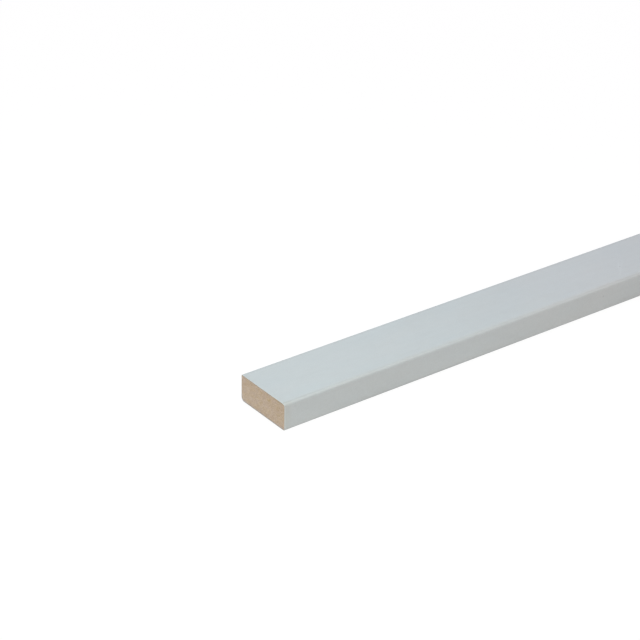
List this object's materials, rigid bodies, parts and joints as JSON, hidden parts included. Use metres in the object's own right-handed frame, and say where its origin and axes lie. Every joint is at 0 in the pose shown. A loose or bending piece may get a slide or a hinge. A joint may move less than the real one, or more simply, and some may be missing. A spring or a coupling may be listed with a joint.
{
  "type": "skirting board",
  "caption": "Plain square-edged skirting board in primed fibreboard, with an eased top arris, a relieved heel and bare sawn ends, lying on its back.",
  "frame": {"origin": "middle of the board's back, on the surface that the board lies on", "axes": "+X along the length; +Y across the board from its top edge to its floor edge; +Z from the back to the room face"},
  "size_m": [2.4, 0.044, 0.018],
  "materials": {
    "primed_fibreboard": "matte"
  },
  "bodies": {
    "root": {"skirting_board": "primed_fibreboard"}
  },
  "joints": []
}
